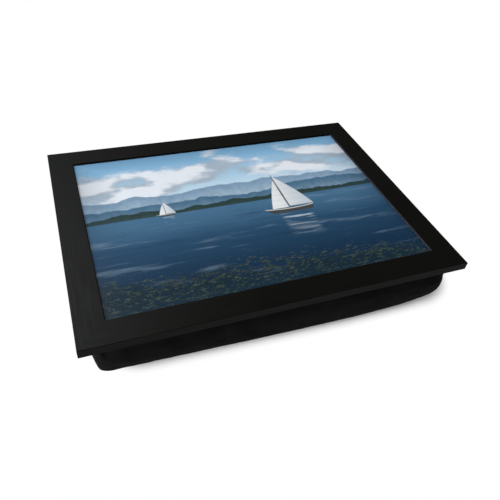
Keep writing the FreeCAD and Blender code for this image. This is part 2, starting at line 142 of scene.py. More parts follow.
def applyModifier(piece, kind, **settings):
    useOnly(piece)
    bpy.ops.object.modifier_add(type=kind)
    modifier = piece.modifiers[-1]
    for key, value in settings.items():
        setattr(modifier, key, value)
    bpy.ops.object.modifier_apply(modifier=modifier.name)


def repeat(piece, count, step):
    applyModifier(piece, "ARRAY", count=count, use_relative_offset=False,
                  use_constant_offset=True, constant_offset_displace=step)


def joinTo(piece, others):
    useOnly(piece)
    for other in others:
        other.select_set(True)
    bpy.ops.object.join()


def smoothOver(piece, degrees):
    useOnly(piece)
    bpy.ops.object.shade_smooth_by_angle(angle=math.radians(degrees))


def normalsOf(piece):
    return [vertex.normal.copy() for vertex in piece.data.vertices]


def ease(value, low, high):
    share = min(max((value - low) / (high - low), 0.0), 1.0)
    return share * share * (3.0 - 2.0 * share)


def along(value, stops):
    if value <= stops[0][0]:
        return stops[0][1]
    for (a, first), (b, second) in zip(stops, stops[1:]):
        if value <= b:
            return first + (second - first) * (value - a) / (b - a)
    return stops[-1][1]


def finishPiece(piece, body, slot, finish, *nodes):
    piece.data.materials.clear()
    piece.data.materials.append(finish)
    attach(piece, body)
    if nodes:
        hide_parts(*nodes)


# node bench: the finish being made and the nodes that make it, where a colour is red, green and blue

bench = {}
socketNames = {
    "colour": "Base Color", "rough": "Roughness", "metal": "Metallic", "normal": "Normal", "clear": "Alpha",
    "gloss": "Specular IOR Level", "sheen": "Sheen Weight", "sheenRough": "Sheen Roughness",
    "coat": "Coat Weight", "coatRough": "Coat Roughness",
}


def startFinish(name, kind="materials"):
    owner = getattr(bpy.data, kind).new(name)
    owner.use_nodes = True
    owner.node_tree.nodes.clear()
    bench.update(owner=owner, tree=owner.node_tree)
    spots = addNode("ShaderNodeTexCoord").outputs
    bench.update(place=spots["Object"], facing=spots["Normal"])
    bench["x"], bench["y"], bench["z"] = splitAxes(bench["place"])


def addNode(kind, inputs=None, **settings):
    node = bench["tree"].nodes.new(kind)
    for key, value in settings.items():
        setattr(node, key, value)
    for key, value in (inputs or {}).items():
        feedSocket(node.inputs[key], value)
    return node


def feedSocket(socket, value):
    if isinstance(value, bpy.types.NodeSocket):
        bench["tree"].links.new(value, socket)
    elif socket.type == "RGBA":
        socket.default_value = (*value, 1.0)
    else:
        socket.default_value = value


def splitAxes(value):
    return addNode("ShaderNodeSeparateXYZ", {"Vector": value}).outputs


def calc(operation, first, second=0.0):
    return addNode("ShaderNodeMath", {0: first, 1: second}, operation=operation).outputs[0]


def plus(first, second):
    return calc("ADD", first, second)


def minus(first, second):
    return calc("SUBTRACT", first, second)


def times(first, second):
    return calc("MULTIPLY", first, second)


def absolute(value):
    return calc("ABSOLUTE", value)


def weigh(first, share, second, rest):
    return plus(times(first, share), times(second, rest))


def most(first, second):
    return calc("MAXIMUM", first, second)


def least(*values):
    found = values[0]
    for value in values[1:]:
        found = calc("MINIMUM", found, value)
    return found


def span(value, low, high, start=0.0, end=1.0):
    return addNode("ShaderNodeMapRange", {0: value, 1: low, 2: high, 3: start, 4: end},
                   interpolation_type="SMOOTHSTEP").outputs[0]


def mapped(stretch=(1, 1, 1), shift=(0, 0, 0), turn=(0, 0, 0)):
    return addNode("ShaderNodeMapping", {"Vector": bench["place"], "Location": shift, "Rotation": turn,
                                         "Scale": stretch}).outputs[0]


def grain(scale, detail=4.0, rough=0.5, stretch=(1, 1, 1), shift=(0, 0, 0), turn=(0, 0, 0)):
    return addNode("ShaderNodeTexNoise", {"Vector": mapped(stretch, shift, turn), "Scale": scale,
                                          "Detail": detail, "Roughness": rough}).outputs[0]


def cells(scale):
    return addNode("ShaderNodeTexVoronoi", {"Vector": mapped(), "Scale": scale}).outputs["Distance"]


def ripple(value, pitch):
    return calc("SINE", times(value, 2.0 * math.pi / pitch))


def blend(share, first, second):
    return addNode("ShaderNodeMix", {0: share, 6: first, 7: second}, data_type="RGBA").outputs[2]


def ramp(value, stops):
    node = addNode("ShaderNodeValToRGB", {0: value})
    marks = node.color_ramp.elements
    while len(marks) < len(stops):
        marks.new(0.5)
    for mark, (position, colour) in zip(marks, stops):
        mark.position = position
        mark.color = (*colour, 1.0)
    return node.outputs[0]


def bump(height, depth, strength, under=None):
    node = addNode("ShaderNodeBump", {"Height": height, "Distance": depth, "Strength": strength})
    if under is not None:
        feedSocket(node.inputs["Normal"], under)
    return node.outputs[0]


def showShader(shader, output="ShaderNodeOutputMaterial"):
    bench["tree"].links.new(shader.outputs[0], addNode(output).inputs[0])
    return bench["owner"]


def closeFinish(**sockets):
    shader = addNode("ShaderNodeBsdfPrincipled")
    for key, value in sockets.items():
        feedSocket(shader.inputs[socketNames[key]], value)
    return showShader(shader)


def plainSurface(look, colour, pattern, height=None):
    rough = span(pattern, *look["rough"])
    normal = bump(pattern if height is None else height, *look["bump"])
    return closeFinish(colour=colour, rough=rough, normal=normal, **look["shine"])


def shaded(colour, share):
    return [part * share for part in colour]


# camera, from the photograph's corners

viewpoint = {
    "place": (-0.199375, -0.463523, 0.468141),
    "turnDegrees": (46.8906, -5.0561, -20.2003),
    "lens": 36.746, "sensor": 36.0, "nearest": 0.01,
}


def setCamera():
    clearSelection()
    turn = [math.radians(angle) for angle in viewpoint["turnDegrees"]]
    bpy.ops.object.camera_add(location=viewpoint["place"], rotation=turn)
    camera = bpy.context.object
    camera.name = "camera"
    camera.data.lens = viewpoint["lens"]
    camera.data.sensor_width = viewpoint["sensor"]
    camera.data.clip_start = viewpoint["nearest"]
    bpy.context.scene.camera = camera


# floor, lamps and the room round them

studio = {
    "floorSize": 14.0, "floorDrop": 0.1 * mm,
    "floorTone": (0.92, 0.92, 0.92), "mottle": 3.0, "mottleTone": (0.985, 1.0),
    "whiteFrom": (-12.0 * mm, 10.0 * mm),    # gap to the cushion over which the floor turns white
    "shadowReach": 41.0 * mm, "shadowRound": 55.0 * mm,    # past the cushion on the right, and corners
    "shadowDrift": 0.03, "driftStop": 80.0 * mm,    # more shadow away from the window
    "roomTone": (0.94, 0.96, 1.0), "roomLevel": 0.14,
    "lamps": {
        "leftWindow": {"place": (-2.4, -0.45, 2.3), "aim": (0.0, 0.0, 0.05), "size": 1.6,
                       "watts": 66.0, "tint": (1.0, 0.985, 1.0)},
        "backPanel": {"place": (-0.77, 1.97, 2.6), "aim": (-0.1, 0.0, 0.07), "size": 0.9,
                      "watts": 58.0, "tint": (0.91, 0.93, 1.0)},
        "leftCard": {"place": (-0.78, -0.36, 0.14), "aim": (-0.2, -0.15, 0.03), "size": 0.3,
                     "watts": 4.2, "tint": (0.97, 0.97, 1.0), "matt": True},
        "rightFill": {"place": (2.2, 0.5, 0.8), "aim": (0.0, 0.0, 0.03), "size": 1.4,
                      "watts": 26.0, "tint": (0.98, 0.98, 1.0), "matt": True},
    },
}


def backdropShare():
    path = addNode("ShaderNodeLightPath").outputs
    share = most(path["Is Camera Ray"], path["Is Glossy Ray"])
    return most(share, path["Is Transmission Ray"])


def floorFinish():
    startFinish("paleFloor")
    mottle = span(grain(studio["mottle"]), 0.3, 0.7, *studio["mottleTone"])
    colour = blend(mottle, (0, 0, 0), studio["floorTone"])
    matt = addNode("ShaderNodeBsdfDiffuse", {"Color": colour})
    white = addNode("ShaderNodeEmission", {"Color": (1, 1, 1), "Strength": 1.0})
    low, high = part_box("cover_base")
    right = high.x + studio["shadowReach"]
    middle = (low.x + right) / 2
    sides = []
    for axis, reach in ((plus(bench["x"], -middle), right - middle), (bench["y"], max(high.y, -low.y))):
        outside = minus(absolute(axis), reach - studio["shadowRound"])
        sides.append(most(outside, 0.0))
    spread = addNode("ShaderNodeCombineXYZ", {0: sides[0], 1: sides[1], 2: 0.0}).outputs[0]
    far = addNode("ShaderNodeVectorMath", {0: spread}, operation="LENGTH").outputs["Value"]
    drift = times(least(bench["x"], studio["driftStop"]), -studio["shadowDrift"])
    gap = plus(minus(far, studio["shadowRound"]), drift)
    share = times(span(gap, *studio["whiteFrom"]), backdropShare())
    both = addNode("ShaderNodeMixShader", {0: share, 1: matt.outputs[0], 2: white.outputs[0]})
    return showShader(both)


def setStudio():
    clearSelection()
    bpy.ops.mesh.primitive_plane_add(size=studio["floorSize"], location=(0, 0, -studio["floorDrop"]))
    floor = bpy.context.object
    floor.name = "studio_floor"
    floor.data.materials.append(floorFinish())
    for name, lamp in studio["lamps"].items():
        clearSelection()
        bpy.ops.object.light_add(type="AREA", location=lamp["place"])
        light = bpy.context.object
        light.name = name
        light.data.size = lamp["size"]
        light.data.energy = lamp["watts"]
        light.data.color = lamp["tint"]
        light.visible_camera = False
        light.visible_glossy = not lamp.get("matt", False)
        aim = Vector(lamp["aim"]) - Vector(lamp["place"])
        light.rotation_euler = aim.to_track_quat("-Z", "Y").to_euler()
    startFinish("studioRoom", "worlds")
    dim = addNode("ShaderNodeBackground", {"Color": studio["roomTone"], "Strength": studio["roomLevel"]})
    white = addNode("ShaderNodeBackground", {"Color": (1, 1, 1)})
    seen = addNode("ShaderNodeLightPath").outputs["Is Camera Ray"]
    both = addNode("ShaderNodeMixShader", {0: seen, 1: dim.outputs[0], 2: white.outputs[0]})
    bpy.context.scene.world = showShader(both, "ShaderNodeOutputWorld")
    bpy.context.scene.view_settings.view_transform = "Standard"


setCamera()
setStudio()
print("camera and studio set")


# finishes: a pattern is scale, detail, roughness, stretch, shift and turn, rough is the pattern's range and
# what it gives, and bump is depth and strength

def railFilm(name, lengthways):
    film = {
        "tone": (0.0031, 0.0031, 0.0021), "dark": 0.72, "light": 1.3, "side": (0.0044, 0.0044, 0.0043),
        "worn": (0.012, 0.012, 0.013), "wornShare": 0.12, "arris": (0.5 * mm, 1.5 * mm),
        "sightHighlight": (0.050, 0.044, 0.058), "sightHighlightBand": (0.15 * mm, 0.03 * mm),
        "mitre": (0.0012, 0.0012, 0.0012), "mitreShare": 0.4, "mitreLine": 0.10 * mm,
        "grain": 420.0, "poresFiner": 2.2, "stretch": 0.055, "cloud": (9.0, 3.0), "rub": (55.0, 4.0),
        "rough": (0.25, 0.75, 0.38, 0.48), "grainBump": (0.05 * mm, 0.35), "mitreBump": (0.12 * mm, 0.25),
        "sideFrom": (0.8 * mm, 1.2 * mm), "sideRough": (0.6 * mm, 1.4 * mm, 0.0, 0.22),
    }
    startFinish(name)
    outer = cadBox[1]
    wide = outer.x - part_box("right_rail")[0].x
    stretch = (film["stretch"], 1, 1) if lengthways == "x" else (1, film["stretch"], 1)
    fibre = grain(film["grain"], 5.0, 0.62, stretch)
    pores = grain(film["grain"] * film["poresFiner"], 2.0, 0.5, stretch, (0.31, 0.17, 0.05))
    cloud = grain(*film["cloud"])
    shade = weigh(fibre, 0.5, cloud, 0.5)
    dark, light = shaded(film["tone"], film["dark"]), shaded(film["tone"], film["light"])
    colour = blend(span(shade, 0.3, 0.7), dark, light)
    acrossX = minus(outer.x, absolute(bench["x"]))
    acrossY = minus(outer.y, absolute(bench["y"]))
    below = minus(outer.z, bench["z"])
    arris = span(plus(least(acrossX, acrossY), below), *film["arris"], 1.0, 0.0)
    rub = times(arris, span(grain(*film["rub"]), 0.42, 0.68))
    colour = blend(times(rub, film["wornShare"]), colour, film["worn"])
    # painted light: the film's sides below the arris take a paler tone than its top, standing in for light
    # falling on the frame's edges
    colour = blend(span(below, *film["sideFrom"]), colour, film["side"])
    # painted highlight: a pale mauve band on the right rail's inner wall alone, standing in for that wall lit and
    # reflecting the picture
    if lengthways == "y":
        sightHighlight = span(acrossX, *[wide - inset for inset in film["sightHighlightBand"]])
        sightHighlight = times(sightHighlight, span(bench["x"], 0.0, 0.01))    # right rail alone
        colour = blend(sightHighlight, colour, film["sightHighlight"])
    joint = absolute(minus(acrossX, acrossY))
    seam = span(joint, film["mitreLine"], film["mitreLine"] * 2.4, 1.0, 0.0)
    colour = blend(times(seam, film["mitreShare"]), colour, film["mitre"])
    rough = plus(span(fibre, *film["rough"]), weigh(cloud, 0.05, rub, -0.06))
    rough = plus(rough, span(below, *film["sideRough"]))
    normal = bump(weigh(fibre, 0.7, pores, 0.3), *film["grainBump"])
    normal = bump(minus(1.0, seam), *film["mitreBump"], normal)
    return closeFinish(colour=colour, rough=rough, gloss=0.07, normal=normal)


def hardboardFinish():
    board = {"fibre": (260.0, 6.0, 0.7, (1, 0.35, 1)), "fleck": (900.0, 2.0),
             "dark": (0.060, 0.034, 0.018), "brown": (0.125, 0.074, 0.040), "pale": (0.205, 0.132, 0.077),
             "rough": (0.2, 0.8, 0.5, 0.75), "bump": (0.12 * mm, 0.5), "shine": {"gloss": 0.35}}
    startFinish("brownHardboard")
    fibre = grain(*board["fibre"])
    mix = weigh(fibre, 0.7, grain(*board["fleck"]), 0.3)
    colour = ramp(mix, [(0.28, board["dark"]), (0.5, board["brown"]), (0.72, board["pale"])])
    return plainSurface(board, colour, fibre)


# two tones that follow one pattern, or its mix with patches
twoTones = {
    "brightSteel": {"grain": (700.0, 4.0, 0.6, (0.08, 1, 1)), "patches": (90.0, 5.0), "patchShare": 1.0,
                    "toneFrom": (0.35, 0.7), "dark": (0.46, 0.45, 0.44), "pale": (0.62, 0.62, 0.63),
                    "rough": (0.2, 0.8, 0.22, 0.42), "bump": (0.03 * mm, 0.3), "shine": {"metal": 1.0}},
    "darkNickel": {"grain": (900.0, 4.0, 0.6, (0.12, 1, 1)), "patches": (160.0, 5.0), "patchShare": 1.0,
                   "toneFrom": (0.52, 0.72), "dark": (0.16, 0.155, 0.15), "pale": (0.38, 0.37, 0.36),
                   "rough": (0.2, 0.8, 0.24, 0.42), "bump": (0.03 * mm, 0.35), "shine": {"metal": 1.0}},
    "hookNylon": {"grain": (600.0, 3.0, 0.5, (1, 0.3, 1)),
                  "dark": (0.008, 0.008, 0.009), "pale": (0.024, 0.024, 0.026),
                  "rough": (0.3, 0.7, 0.32, 0.5), "bump": (0.08 * mm, 0.5), "shine": {"gloss": 0.5}},
    "zipPlastic": {"grain": (500.0, 3.0), "dark": (0.008, 0.008, 0.009), "pale": (0.020, 0.020, 0.022),
                   "rough": (0.3, 0.7, 0.26, 0.42), "bump": (0.04 * mm, 0.4), "shine": {"gloss": 0.5}},
    "loopPile": {"grain": (1500.0, 3.0, 0.7), "patches": (120.0, 3.0), "patchShare": 0.4,
                 "dark": (0.005, 0.005, 0.006), "pale": (0.026, 0.026, 0.028),
                 "rough": (0.2, 0.8, 0.7, 0.95), "bump": (0.25 * mm, 0.8),
                 "shine": {"gloss": 0.2, "sheen": 0.45, "sheenRough": 0.4}},
}


def twoToneFinish(name):
    look = twoTones[name]
    startFinish(name)
    pattern = grain(*look["grain"])
    share = pattern
    if "patches" in look:
        share = weigh(pattern, 1.0 - look["patchShare"], grain(*look["patches"]), look["patchShare"])
    if "toneFrom" in look:
        share = span(share, *look["toneFrom"])
    return plainSurface(look, blend(share, look["dark"], look["pale"]), pattern)


def clearFinish():
    sheet = {"tone": (0.02, 0.02, 0.02), "seen": 0.03, "haze": (45.0, 5.0, 0.6),
             "scuff": (800.0, 3.0, 0.6, (1, 0.05, 1), (0, 0, 0), (0, 0, 0.6)),
             "hazeRough": (0.3, 0.7, 0.17, 0.23), "scuffRough": (0.62, 0.8, 0.0, 0.10),
             "bump": (0.05 * mm, 0.05)}
    startFinish("wipeCleanSheet")
    haze = grain(*sheet["haze"])
    scuff = grain(*sheet["scuff"])
    rough = plus(span(haze, *sheet["hazeRough"]), span(scuff, *sheet["scuffRough"]))
    return closeFinish(colour=sheet["tone"], rough=rough, gloss=0.5, clear=sheet["seen"],
                       normal=bump(haze, *sheet["bump"]))


def coverFinish():
    cloth = {"thread": 0.62 * mm, "slub": (210.0, 4.0, 0.6, (0.18, 0.18, 1)), "fade": (16.0, 4.0),
             "lint": (1300.0, 1.0), "lintTone": (0.035, 0.035, 0.037), "lintShare": 0.35,
             "dark": (0.0044, 0.0045, 0.0044), "pale": (0.0089, 0.0091, 0.0089),
             "rough": (0.25, 0.75, 0.68, 0.82),
             "slubBump": (0.10 * mm, 0.5), "threadBump": (0.045 * mm, 0.55)}
    startFinish("blackPolycotton")
    weave = 0.0
    for axis, part in zip((bench["x"], bench["y"], bench["z"]), splitAxes(bench["facing"])):
        turned = span(absolute(part), 0.35, 0.75, 1.0, 0.0)    # threads lie in the cloth
        weave = plus(times(ripple(axis, cloth["thread"]), turned), weave)
    slub = grain(*cloth["slub"])
    lint = span(grain(*cloth["lint"]), 0.70, 0.78)
    shade = weigh(slub, 0.35, grain(*cloth["fade"]), 0.5)
    shade = plus(shade, times(weave, 0.03))
    colour = blend(span(shade, 0.25, 0.6), cloth["dark"], cloth["pale"])
    colour = blend(times(lint, cloth["lintShare"]), colour, cloth["lintTone"])
    normal = bump(slub, *cloth["slubBump"])
    normal = bump(weave, *cloth["threadBump"], normal)
    return closeFinish(colour=colour, rough=span(slub, *cloth["rough"]), gloss=0.010,
                       sheen=0.01, sheenRough=0.4, normal=normal)


def linerFinish():
    liner = {"fibre": (420.0, 5.0, 0.7), "dots": 520.0,
             "grey": (0.66, 0.66, 0.65), "white": (0.80, 0.80, 0.79),
             "rough": (0.2, 0.8, 0.7, 0.9), "bump": (0.2 * mm, 0.6), "shine": {"gloss": 0.2}}
    startFinish("whiteNonwoven")
    fibre = grain(*liner["fibre"])
    height = weigh(cells(liner["dots"]), 0.6, fibre, 0.5)
    return plainSurface(liner, blend(fibre, liner["grey"], liner["white"]), fibre, height)


def beadFinish():
    bead = {"cells": 300.0,
            "lit": (0.84, 0.84, 0.83), "side": (0.66, 0.66, 0.66), "gap": (0.34, 0.34, 0.35),
            "rough": (0.0, 0.8, 0.45, 0.7), "bump": (1.2 * mm, 0.9), "shine": {"gloss": 0.35}}
    startFinish("foamBeads")
    beads = cells(bead["cells"])
    # painted light and shade: each bead paler at its middle, darker towards its sides, and darkest in the gaps
    # between beads
    colour = ramp(beads, [(0.0, bead["lit"]), (0.55, bead["side"]), (0.9, bead["gap"])])
    return plainSurface(bead, colour, beads, minus(1.0, beads))


def zipTapeFinish():
    tape = {"chevron": 1.1 * mm, "rib": 0.7 * mm, "fuzz": (900.0, 3.0),
            "dark": (0.005, 0.005, 0.006), "pale": (0.017, 0.017, 0.018),
            "rough": (0.2, 0.8, 0.6, 0.8), "bump": (0.08 * mm, 0.6),
            "shine": {"gloss": 0.25, "sheen": 0.12, "sheenRough": 0.4}}
    startFinish("zipTapeWeave")
    chevron = calc("PINGPONG", bench["x"], tape["chevron"])
    rib = ripple(plus(bench["z"], chevron), tape["rib"])
    fuzz = grain(*tape["fuzz"])
    share = span(weigh(rib, 0.25, fuzz, 0.8), 0.1, 0.8)
    return plainSurface(tape, blend(share, tape["dark"], tape["pale"]), fuzz, rib)


def threadFinish():
    yarn = {"twist": 0.55 * mm, "fuzz": (2200.0, 2.0),
            "dark": (0.010, 0.010, 0.011), "pale": (0.034, 0.034, 0.036),
            "rough": (0.2, 0.8, 0.45, 0.7), "bump": (0.06 * mm, 0.7),
            "shine": {"gloss": 0.35, "sheen": 0.1}}
    startFinish("blackThread")
    twist = ripple(plus(plus(bench["x"], bench["y"]), bench["z"]), yarn["twist"])
    colour = blend(span(twist, -1.0, 1.0), yarn["dark"], yarn["pale"])
    return plainSurface(yarn, colour, grain(*yarn["fuzz"]), twist)


# the picture: two sailing boats on a lake under soft clouds, drawn by nodes

picture = {
    "skyHigh": (0.20, 0.42, 0.62), "skyMid": (0.39, 0.60, 0.74), "skyLow": (0.61, 0.73, 0.79),
    "cloudLight": (0.78, 0.81, 0.83), "cloudShade": (0.37, 0.44, 0.50),
    "ridges": [
        {"height": 0.36, "rise": 0.40, "scale": 9.0, "seed": 1.7,
         "top": (0.21, 0.33, 0.45), "foot": (0.36, 0.49, 0.58)},
        {"height": 0.24, "rise": 0.34, "scale": 12.0, "seed": 4.2,
         "top": (0.070, 0.16, 0.25), "foot": (0.20, 0.31, 0.40)},
        {"height": 0.12, "rise": 0.22, "scale": 21.0, "seed": 8.6,
         "top": (0.024, 0.050, 0.044), "foot": (0.060, 0.105, 0.12)},
    ],
    "shore": 0.06,
    "lakeFar": (0.058, 0.150, 0.25), "lakeMid": (0.020, 0.068, 0.132), "lakeNear": (0.005, 0.024, 0.054),
    "glint": (0.27, 0.38, 0.47), "trough": (0.010, 0.035, 0.082), "rim": (0.012, 0.035, 0.07),
    "bankDark": (0.005, 0.017, 0.017), "bankLight": (0.100, 0.125, 0.085),
    # scale, detail, roughness, stretch and shift of each pattern
    "cloud": (13.0, 9.0, 0.56, (0.75, 1.7, 1)),
    "farWave": (34.0, 6.0, 0.62, (0.35, 4.2, 1)),
    "nearWave": (17.0, 7.0, 0.66, (0.6, 3.2, 1), (0.2, 0.7, 0)),
    "drift": (11.0, 5.0, 0.6, (0.5, 1.6, 1), (0.4, 0.9, 0)), "tufts": (400.0, 4.0, 0.7, (0.45, 1.1, 1)),
    "boats": [(58.0, -22.0, 1.18), (-96.0, 6.0, 0.42)],    # middle and waterline in mm, and size
}
# one boat at size 1, in mm from the mast's foot at the waterline: a shape lies inside all its edges, and an
# edge has a place, then slopes across, upwards, with the square across and with the belly of the sail
boat = {
    "shine": [(23.0, -1, 0), (17.0, 1, 0), (-1.0, 0, -1), (44.0, 0, 1)],
    "mast": [(0.55, -1, 0), (0.55, 1, 0), (-4.0, 0, 1), (66.0, 0, -1)],
    "main": [(-0.8, 1, 0), (31.0, -1, -31.0 / 64.0, 0, 1), (-8.5, 0, 1), (63.0, 0, -1)],
    "jib": [(-1.2, -1, 0), (22.0, 1, -22.0 / 57.0, 0, 0.5), (-7.0, 0, 1), (56.0, 0, -1)],
    "sheer": [(5.4, 0, -1, 0.0028)],
    "keel": [(22.0, 1, 0.9), (25.0, -1, 0.35), (1.2, 0, 1, -0.0012)],
    "belly": 3.6, "bellyTall": 66.0, "panel": 9.0, "stripe": 1.3, "soft": 0.6,
    "shineGrain": (60.0, 3.0, 0.6, (0.4, 5.0, 1)),
    "sailLit": (0.80, 0.82, 0.80), "sailShade": (0.52, 0.58, 0.62), "sailSeam": (0.34, 0.38, 0.42),
    "shineTone": (0.60, 0.68, 0.72), "mastTone": (0.16, 0.12, 0.085),
    "stripeTone": (0.62, 0.60, 0.54), "hullTone": (0.055, 0.060, 0.062),
}


def insideEdges(edges, ways):
    values = []
    for value, *slopes in edges:
        for slope, way in zip(slopes, ways):
            if slope:
                value = plus(value, times(way, slope))
        values.append(value)
    return least(*values)


def drawBoat(colour, x, y, size):
    across = times(plus(bench["x"], -x * mm), 1.0 / (size * mm))
    up = times(plus(bench["y"], -y * mm), 1.0 / (size * mm))
    belly = times(calc("SINE", times(up, math.pi / boat["bellyTall"])), boat["belly"])
    ways = (across, up, times(across, across), belly)
    shapes = [boat[name] for name in ("shine", "mast", "main", "jib", "sheer", "keel")]
    shine, mast, main, jib, sheer, keel = [insideEdges(shape, ways) for shape in shapes]
    lap = span(ripple(up, boat["panel"]), 0.80, 1.0, 0.0, 0.22)
    cloth = blend(span(across, -20.0, 30.0), boat["sailLit"], boat["sailShade"])
    cloth = blend(lap, cloth, boat["sailSeam"])
    stripe = span(minus(sheer, boat["stripe"]), -0.3, 0.3)
    paint = blend(stripe, boat["stripeTone"], boat["hullTone"])
    dash = span(grain(*boat["shineGrain"]), 0.46, 0.64)
    fading = span(up, -44.0, -2.0, 0.05, 0.75)
    shine = times(times(span(shine, 0.0, 9.0), dash), fading)
    colour = blend(shine, colour, boat["shineTone"])
    soft = boat["soft"] / size
    hull = least(sheer, keel)
    for shape, tint in ((mast, boat["mastTone"]), (main, cloth), (jib, cloth), (hull, paint)):
        colour = blend(span(shape, -soft, soft), colour, tint)
    return colour


def printFinish():
    startFinish("lakePrint")
    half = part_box("picture_sheet")[1]
    px = times(bench["x"], 1.0 / half.x)
    py = times(bench["y"], 1.0 / half.y)
    colour = ramp(span(py, 0.1, 1.0), [
        (0.0, picture["skyLow"]), (0.45, picture["skyMid"]), (1.0, picture["skyHigh"])])
    heap = grain(*picture["cloud"], (0.63, 0.11, 0.0))
    under = grain(*picture["cloud"], (0.63, 0.155, 0.0))
    bank = times(span(py, 0.22, 0.56), span(py, 0.62, 0.96, 1.0, 0.0))
    cover = span(plus(heap, times(bank, 0.20)), 0.55, 0.70)
    lit = span(minus(heap, under), -0.06, 0.08)
    puff = blend(lit, picture["cloudShade"], picture["cloudLight"])
    colour = blend(times(cover, 0.94), colour, puff)
    for ridge in picture["ridges"]:
        line = grain(ridge["scale"], 7.0, 0.56, (1, 0, 0), (0.0, ridge["seed"], 0.0))
        top = plus(ridge["height"], times(plus(line, -0.5), ridge["rise"]))
        depth = minus(top, py)
        trees = grain(150.0, 4.0, 0.7, (1, 0.6, 1), (ridge["seed"], 0, 0))
        body = blend(span(depth, 0.0, 0.22), ridge["top"], ridge["foot"])
        body = blend(span(trees, 0.35, 0.75, 0.0, 0.4), body, shaded(ridge["top"], 0.55))
        colour = blend(span(depth, -0.008, 0.008), colour, body)
    fall = minus(picture["shore"], py)
    lake = ramp(span(fall, 0.0, 1.0), [
        (0.0, picture["lakeFar"]), (0.30, picture["lakeMid"]), (1.0, picture["lakeNear"])])
    wave = weigh(grain(*picture["farWave"]), 0.5, grain(*picture["nearWave"]), 0.5)
    lake = blend(span(wave, 0.52, 0.70, 0.0, 0.45), lake, picture["glint"])
    lake = blend(span(wave, 0.34, 0.47, 0.5, 0.0), lake, picture["trough"])
    colour = blend(span(fall, -0.004, 0.006), colour, lake)
    for x, y, size in picture["boats"]:
        colour = drawBoat(colour, x, y, size)
    reach = span(plus(py, times(px, 0.14)), -1.0, -0.42, 0.085, -0.16)
    tufts = grain(*picture["tufts"])
    leaf = plus(weigh(tufts, 0.62, grain(*picture["drift"]), 0.38), reach)
    reed = blend(span(tufts, 0.48, 0.72), picture["bankDark"], picture["bankLight"])
    colour = blend(span(leaf, 0.49, 0.55, 0.0, 0.85), colour, reed)
    edges = [span(absolute(way), 0.72, 1.05) for way in (px, py)]
    colour = blend(times(most(*edges), 0.30), colour, picture["rim"])
    dots = grain(2600.0, 1.0)
    rough = span(dots, 0.2, 0.8, 0.42, 0.52)
    return closeFinish(colour=colour, rough=rough, gloss=0.06, coat=0.04, coatRough=0.16,
                       normal=bump(dots, 0.02 * mm, 0.25))


nodeFinishes = (
    (railFilm("railFilmLong", "x"), ("front_rail", "back_rail")),
    (railFilm("railFilmShort", "y"), ("left_rail", "right_rail")),
    (hardboardFinish(), ("base_board", "picture_board")),
    (twoToneFinish("brightSteel"), ("corner_v_nails", "framing_points")),
    (printFinish(), ("picture_sheet",)),
    (clearFinish(), ("clear_cover",)),
)
for finish, nodes in nodeFinishes:
    for node in nodes:
        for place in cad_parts[node].material_slots:
            place.material = finish
hookNylon = twoToneFinish("hookNylon")
loopNylon = twoToneFinish("loopPile")
coverCloth = coverFinish()
linerCloth = linerFinish()
foamBeads = beadFinish()
zipWeave = zipTapeFinish()
zipPlastic = twoToneFinish("zipPlastic")
zipMetal = twoToneFinish("darkNickel")
thread = threadFinish()
print("finishes made")


# cushion: inflated by cloth simulation, held at its seams, top and zip

